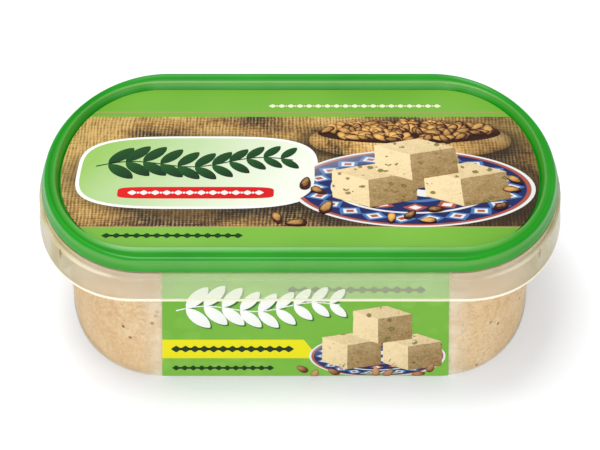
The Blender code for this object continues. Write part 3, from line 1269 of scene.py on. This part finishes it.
@dataclass(frozen=True)
class Sheet:
    """A printed sheet as its motifs see it: how they are laid on it, its slot, which is not used, and its
    pieces' prefix.
    """

    lay: Lay
    slot: str
    prefix: str

    def add(
        self,
        name: str,
        outlines: np.ndarray,
        material: bpy.types.Material,
        tones: Union[float, np.ndarray],
        lifts: Union[float, np.ndarray],
        lean: float = 0.0,
        rise: float = 0.0,
    ) -> None:
        """Lays shapes on the sheet as one piece.

        Args:
            name: the piece's name after the sheet's prefix.
            outlines: shapes in millimetres on the sheet.
            material: the finish.
            tones: a tone for all shapes or for each.
            lifts: a lift in millimetres for all shapes or for each.
            lean: how much lighter the upper left of each shape is.
            rise: how much higher each shape stands than the one before it.
        """
        many = len(outlines)
        tone = np.broadcast_to(tones, many).astype(float)
        lift = (np.broadcast_to(lifts, many) + rise * np.arange(many)) * MM
        piece = inlays(self.prefix + name, outlines * MM, tone, lift, self.lay, material, lean)

    def pile(self, cube: Cube, corners: Sequence[Pair], lift: float, seed: int, apart: float = 0.0) -> None:
        """Lays a pile of equal cubes on the sheet, each over the one before it.

        Args:
            cube: the cube that is repeated.
            corners: the lowest corner of each.
            lift: how high the first stands.
            seed: which noise the first cube's edges read; each next one reads its own.
            apart: how much higher a cube's sides stand than its top.
        """
        faces = np.concatenate([cube.faces(corner, seed + i) for i, corner in enumerate(corners)])
        many = len(corners)
        tones = np.tile([facet.value for facet in Facet], many)
        lifts = np.repeat(lift + CUBE_RISE * np.arange(many), 3) + np.tile([0.0, apart, apart], many)
        self.add("cubes", faces, CubeCrumb().material(), tones, lifts, 0.1)


@dataclass(frozen=True)
class Sprig:
    """A printed sprig: a waving stem with pairs of leaves that slant forwards, shorter towards the tip."""

    start: Pair
    stop: Pair
    pairs: int
    length: float
    wave: float
    slant: float = math.radians(48)
    taper: float = 0.35
    leaf_width: float = 0.42

    def stem(self, share: np.ndarray) -> np.ndarray:
        """Points of the stem: start + share * run + normal * wave * sin(3 * pi * share).

        Args:
            share: shares of the stem's length, from 0 to 1.

        Returns:
            One point for each share.
        """
        start, run = np.array(self.start), np.array(self.stop) - np.array(self.start)
        normal = np.array([-run[1], run[0]]) / np.linalg.norm(run)
        return start + run * share[:, None] + normal * (self.wave * np.sin(share * 3 * math.pi))[:, None]

    def leaves(self) -> np.ndarray:
        """The leaves: at equal steps one on each side, reaching out from the stem.

        Returns:
            Their outlines.
        """
        share = np.linspace(0.06, 0.94, self.pairs)
        sizes = np.tile(self.length * (1.0 - self.taper * share), 2)
        heading = math.atan2(self.stop[1] - self.start[1], self.stop[0] - self.start[0])
        angles = heading + np.repeat([self.slant, -self.slant], self.pairs)
        reach = np.stack([np.cos(angles), np.sin(angles)], axis=1) * (sizes * 0.52)[:, None]
        return turned(lens(self.leaf_width), angles, sizes, np.tile(self.stem(share), (2, 1)) + reach)

    def links(self) -> np.ndarray:
        """The stem as short links that overlap.

        Returns:
            Their outlines.
        """
        path = self.stem(np.linspace(0.0, 1.0, 40))
        gaps, middles = path[1:] - path[:-1], (path[1:] + path[:-1]) / 2
        headings = np.arctan2(gaps[:, 1], gaps[:, 0])
        return turned(rounded_box(0.62, 0.18, 3.0, 12), headings, np.linalg.norm(gaps, axis=1), middles)


def chain(start: Pair, stop: Pair, count: int, size: float) -> np.ndarray:
    """A row of small lozenges, large and small in turn.

    Args:
        start: where the first stands.
        stop: where the last stands.
        count: how many there are.
        size: how long the large ones are.

    Returns:
        Their outlines.
    """
    places = np.linspace(np.array(start), np.array(stop), count)
    sizes = np.where(np.arange(count) % 2 == 0, size, size * 0.45)
    return turned(rounded_box(0.5, 0.42, 1.1, 12), np.zeros(count), sizes, places)


@dataclass
class LidPrint:
    """The printed sheet in the lid's recess and the motifs printed on it."""

    top: float = 42.1 * MM
    thickness: float = 0.4 * MM
    edge: float = 0.05 * MM
    gap: float = 1.2 * MM
    plaque_middle: Pair = (-28.0, -4.0)
    sprig: Sprig = Sprig((-56.0, -1.5), (-2.0, 1.5), 11, 10.2, 1.8)
    dish_centre: Pair = (30.5, -11.5)
    dish_radii: Pair = (33.0, 18.2)
    cube: Cube = Cube((12.8, 3.6), (-9.8, 4.6), 12.6)
    cube_corners: Sequence[Pair] = ((31.0, -12.5), (18.5, -21.0), (43.5, -20.5), (30.5, -8.6))
    heap: int = 130
    strewn: Sequence[Pair] = (
        (-6.0, -26.0), (-1.0, -28.0), (7.0, -21.0), (24.0, -26.0), (29.0, -24.5), (33.5, -27.0),
        (57.0, -13.0), (58.5, -8.5), (5.0, -13.5), (1.5, -10.0), (36.0, -22.0), (53.5, -20.5),
    )
    finish: WovenPanel = WovenPanel()

    def lay(self, flat: np.ndarray, lift: np.ndarray) -> np.ndarray:
        """Sheet coordinates are x and y; the lift goes up."""
        return np.concatenate([flat, (self.top + lift)[..., None]], axis=-1)

    def build(self) -> None:
        """Makes the sheet and its motifs."""
        outline = LIP_PLAN.grown(-self.gap)
        stations = [Station(outline.grown(-0.3 * MM), self.top - self.thickness)]
        stations += rounding(outline.grown(-self.edge), self.top - self.edge, self.edge, 0.0, 90.0, 3)
        piece = swept("lid_sheet", ring_stack(stations), self.finish.material())
        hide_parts("lid_print")
        sheet = Sheet(self.lay, "lid_print", "lid_")
        self.plaque(sheet)
        self.dish(sheet)
        self.nuts(sheet)
        light = PrintInk("band_ink", ink(206, 222, 150), ink(250, 250, 226)).material()
        sheet.add("top_chain", chain((-8.0, 29.9), (40.0, 29.9), 37, 2.3), light, 0.7, 0.02)
        dark = PrintInk("mark_ink", ink(8, 40, 10), ink(26, 74, 20)).material()
        sheet.add("low_chain", chain((-50.0, -33.4), (-16.0, -33.4), 27, 2.6), dark, 0.5, 0.02)

    def plaque(self, sheet: Sheet) -> None:
        """The pale plaque on the left, with its border, sprig and red bar.

        Args:
            sheet: what they are printed on.
        """
        white = PrintInk("plaque_edge", ink(228, 232, 220), ink(252, 252, 250), 0.15).material()
        sheet.add("plaque_edge", field_at(self.plaque_middle, 33.0, 17.6, 3.6), white, 0.8, 0.02)
        pale = PlaqueInk().material()
        sheet.add("plaque", field_at(self.plaque_middle, 32.0, 16.6, 3.6), pale, 1.0, 0.04)
        dark = PrintInk("leaf_ink", ink(8, 44, 18), ink(30, 92, 34), 0.3).material()
        sheet.add("sprig_leaves", self.sprig.leaves(), dark, 0.45, 0.06, 0.35, LEAF_RISE)
        sheet.add("sprig_stem", self.sprig.links(), dark, 0.3, 0.06)
        red = PrintInk("red_ink", ink(188, 6, 12), ink(238, 26, 24), 0.15).material()
        sheet.add("red_bar", field_at((-28.0, -14.2), 21.0, 2.7, 6.0), red, 0.55, 0.06, 0.15)
        sheet.add("bar_chain", chain((-45.0, -14.2), (-11.0, -14.2), 23, 2.6), white, 0.8, 0.08)

    def dish(self, sheet: Sheet) -> None:
        """The slanting dish on the right with its pyramid of cubes.

        Args:
            sheet: what they are printed on.
        """
        glaze = DishGlaze(self.dish_centre, self.dish_radii).material()
        sheet.add("dish", field_at(self.dish_centre, *self.dish_radii), glaze, 1.0, 0.03)
        sheet.pile(self.cube, self.cube_corners, 0.2, 0, 0.004)

    def nuts(self, sheet: Sheet) -> None:
        """A sack of kernels at the back on the right, and kernels strewn round the dish.

        Args:
            sheet: what they are printed on.
        """
        sheet.add("sack", field_at((31.0, 11.6), 28.5, 9.2, 2.3), SackCloth().material(), 1.0, 0.02)
        gap = PrintInk("gap_ink", ink(34, 18, 8), ink(64, 36, 16)).material()
        sheet.add("sack_gap", field_at((31.0, 15.4), 26.0, 5.6), gap, 0.3, 0.025)
        rng = np.random.default_rng(8)
        angle = rng.uniform(0.0, 2 * math.pi, self.heap)
        reach = np.sqrt(rng.uniform(0.0, 1.0, self.heap))
        heap = np.stack([31.0 + 24.0 * reach * np.cos(angle), 16.2 + 4.6 * reach * np.sin(angle)], axis=1)
        places = np.concatenate([heap[np.argsort(-heap[:, 1])], np.array(self.strewn)])
        count = len(places)
        angles, sizes = rng.uniform(0.0, 2 * math.pi, count), rng.uniform(4.4, 6.2, count)
        lifts = np.where(np.arange(count) < self.heap, 0.05, 0.25)
        shell = PrintInk("kernel_ink", ink(62, 20, 6), ink(248, 190, 106), 0.7, 1.1).material()
        tones = rng.uniform(0.2, 0.85, count)
        sheet.add("kernels", turned(almond(0.5), angles, sizes, places), shell, tones, lifts, 0.55, LEAF_RISE)


class Side(Enum):
    """Which long side a label is on: the way that it faces along Y."""

    FRONT = -1.0
    BACK = 1.0


@dataclass
class SideLabel:
    """A printed label on a long side, from under the collar down over the base's edge."""

    side: Side
    left: float = -36.7 * MM
    right: float = 39.6 * MM
    foot: float = 0.8 * MM
    top: float = 38.2 * MM
    stands: float = 0.25 * MM
    foot_share: float = 1.012
    lean_in: float = 0.056
    sprig: Sprig = Sprig((-33.0, 24.6), (10.5, 26.5), 9, 9.2, 1.2)
    shadow: Pair = (0.45, -0.5)
    dish_centre: Pair = (20.6, 8.7)
    dish_radii: Pair = (18.2, 7.7)
    cube: Cube = Cube((9.0, 1.7), (-6.7, 2.8), 8.6)
    cube_corners: Sequence[Pair] = ((12.6, 4.0), (28.8, 3.6), (20.8, 13.2))
    strewn: Sequence[Pair] = (
        (0.6, 4.0), (9.0, 3.0), (20.2, 3.0), (23.6, 2.6), (31.6, 2.2), (34.8, 4.6), (4.0, 2.2),
    )
    finish: LabelPrint = LabelPrint()

    def lay(self, flat: np.ndarray, lift: np.ndarray) -> np.ndarray:
        """Places on the label, which narrows upwards and follows the wall.

        Args:
            flat: x and height on the label, seen from outside.
            lift: how far each point stands outwards.

        Returns:
            An array of places.
        """
        x, z = flat[..., 0], flat[..., 1]
        middle = (self.left + self.right) / 2
        x = middle + (x - middle) * (self.foot_share - self.lean_in * z / self.top)
        depth = WALL_PLAN.side_at(x) + self.stands + lift - wall_inset(z)
        facing = self.side.value
        return np.stack([-facing * x, facing * depth, z], axis=-1)

    def build(self) -> None:
        """Makes the label and its motifs.

        Formula: each level is a loop of the outer face from left to right and the inner face back.
        """
        x = np.linspace(self.left, self.right, 61)
        z = np.concatenate([np.linspace(self.foot, 3.0 * MM, 9), np.linspace(4.0 * MM, self.top, 30)])
        grid = np.stack(np.meshgrid(x, z), axis=-1)
        outer = self.lay(grid, np.zeros(grid.shape[:2]))
        inner = self.lay(grid, np.full(grid.shape[:2], -self.stands - SUNK))
        name = self.side.name.lower()
        ground = self.finish.material(name + "_label_print", self.side.value)
        loops = np.concatenate([outer, inner[:, ::-1]], axis=1)
        piece = swept(name + "_label_sheet", loops, ground, Ends.STRIP)
        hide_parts(name + "_label")
        self.motifs(Sheet(self.lay, "label_print", name + "_label_"))

    def motifs(self, sheet: Sheet) -> None:
        """The white sprig with its shadow, the lozenge rows, and the cubes with kernels.

        Args:
            sheet: what they are printed on.
        """
        leaves = self.sprig.leaves()
        shade = PrintInk("sprig_shade", ink(40, 96, 36), ink(70, 130, 50), 0.2).material()
        white = PrintInk("sprig_white", ink(226, 232, 220), ink(255, 255, 252), 0.1).material()
        sheet.add("sprig_shadow", leaves + np.array(self.shadow), shade, 0.4, 0.02, rise=LEAF_RISE)
        sheet.add("sprig_leaves", leaves, white, 0.8, 0.05, 0.2, LEAF_RISE)
        sheet.add("sprig_stem", self.sprig.links(), white, 0.7, 0.04)
        dark = PrintInk("band_mark", ink(8, 34, 8), ink(30, 66, 20), 0.2).material()
        rows = [
            chain((-33.0, 11.2), (-3.0, 11.2), 25, 2.8),
            chain((-2.0, 31.6), (32.0, 31.6), 23, 3.0),
            chain((-33.0, 4.4), (-8.0, 4.4), 23, 2.2),
        ]
        sheet.add("chains", np.concatenate(rows), dark, 0.5, 0.02)
        x, height = self.dish_centre
        glaze = DishGlaze((-self.side.value * x, height), self.dish_radii, False).material()
        sheet.add("dish", field_at(self.dish_centre, *self.dish_radii), glaze, 1.0, 0.03)
        sheet.pile(self.cube, self.cube_corners, 0.05, 20)
        rng = np.random.default_rng(5)
        places = np.array(self.strewn)
        count = len(places)
        kernels = turned(almond(0.56), rng.uniform(0.0, math.pi, count), np.full(count, 3.6), places)
        shell = PrintInk("label_kernel_ink", ink(104, 44, 26), ink(228, 178, 120), 0.4, 0.5).material()
        sheet.add("kernels", kernels, shell, rng.uniform(0.3, 0.7, count), 0.1, 0.45, 0.002)


@dataclass(frozen=True)
class Lamp:
    """A soft square light that looks at the tub."""

    name: str
    place: tuple[float, float, float]
    size: float
    power: float

    def build(self) -> None:
        """Makes the light."""
        data = bpy.data.lights.new(self.name, "AREA")
        data.size = self.size
        data.energy = self.power
        lamp = show(self.name, data)
        lamp.location = self.place
        lamp.rotation_euler = (Vector((0.0, 0.0, 0.02)) - lamp.location).to_track_quat("-Z", "Y").to_euler()


@dataclass
class Studio:
    """A pale floor, soft lights and the camera at the photographed angle."""

    distance: float = 426.2 * MM
    slope: float = 0.633
    aim: float = 20.98 * MM
    lens: float = 90.0
    sensor: float = 36.0
    floor_half: float = 4.0
    sky_strength: float = 0.4
    lamps: Sequence[Lamp] = (
        Lamp("key", (-0.17, 0.1, 0.95), 0.55, 7.6),
        Lamp("front", (-0.06, -0.9, 0.36), 0.5, 2.85),
        Lamp("left", (-0.75, -0.45, 0.3), 0.5, 1.35),
        Lamp("right", (0.75, -0.45, 0.3), 0.5, 1.3),
    )

    def floor(self) -> None:
        """A level floor with a faint grain, which gives back a little light of its own."""
        b = Bench("floor_paint")
        colour = b.layered(ink(248, 250, 252, 0.68), (ink(244, 246, 248, 0.68), b.noise(40.0)))
        paint = b.surface({
            "Base Color": colour,
            "Roughness": 0.85,
            "Specular IOR Level": 0.1,
            "Emission Color": (0.95, 0.97, 1.0, 1.0),
            "Emission Strength": 0.375,
        })
        h = self.floor_half
        data = bpy.data.meshes.new("floor")
        data.from_pydata([(-h, -h, 0.0), (h, -h, 0.0), (h, h, 0.0), (-h, h, 0.0)], [], [(0, 1, 2, 3)])
        data.materials.append(paint)
        show("floor", data)

    def camera(self) -> None:
        """The camera, looking along +Y and down by the slope."""
        data = bpy.data.cameras.new("camera")
        data.lens = self.lens
        data.sensor_width = self.sensor
        eye = show("camera", data)
        height = self.distance * math.sin(self.slope) + self.aim
        eye.location = (0.0, -self.distance * math.cos(self.slope), height)
        eye.rotation_euler = (math.pi / 2 - self.slope, 0.0, 0.0)
        bpy.context.scene.camera = eye

    def build(self) -> None:
        """Sets the floor, the lights, the sky and the camera."""
        self.floor()
        for lamp in self.lamps:
            lamp.build()
        world = bpy.data.worlds.new("sky")
        world.use_nodes = True
        light = world.node_tree.nodes["Background"].inputs
        light["Color"].default_value = (1.0, 1.0, 1.0, 1.0)
        light["Strength"].default_value = self.sky_strength
        bpy.context.scene.world = world
        bpy.context.scene.view_settings.view_transform = "Standard"
        self.camera()


def main() -> None:
    """Builds the pack from the inside out, then the studio."""
    logging.basicConfig(level=logging.INFO)
    HalvaFill().build()
    Tub().build()
    Lid().build()
    LidPrint().build()
    SideLabel(Side.FRONT).build()
    SideLabel(Side.BACK).build()
    Studio().build()


if __name__ == "__main__":
    main()
